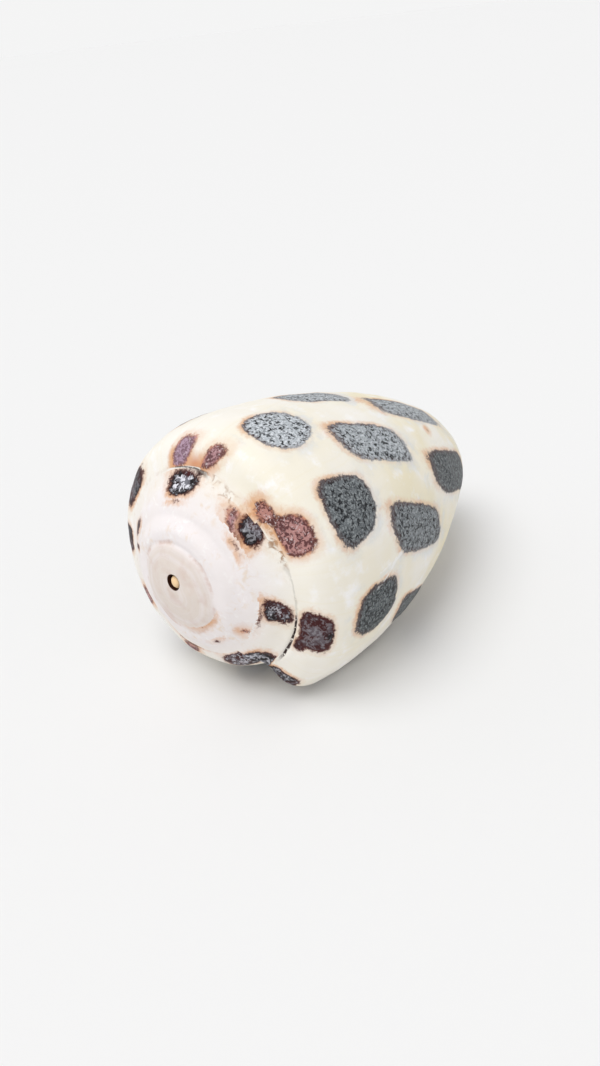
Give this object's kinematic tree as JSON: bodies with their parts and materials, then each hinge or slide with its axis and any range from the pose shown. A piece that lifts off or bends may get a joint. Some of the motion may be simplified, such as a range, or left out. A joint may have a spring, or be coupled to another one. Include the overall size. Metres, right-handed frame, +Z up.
{
  "type": "cone shell",
  "caption": "Beach-worn cone shell with a low stepped spire, a long tapering last whorl, a narrow aperture slit and dark blotches on a cream ground.",
  "frame": {"origin": "on the surface that the shell lies on, under the middle of its box", "axes": "+X along the shell towards the front tip, +Z up, aperture facing down"},
  "size_m": [0.036, 0.0224, 0.0213],
  "materials": {
    "shell": "worn porcelain-like shell, satin, with dark brown-grey blotches"
  },
  "bodies": {
    "root": {"shell": "shell"}
  },
  "joints": []
}
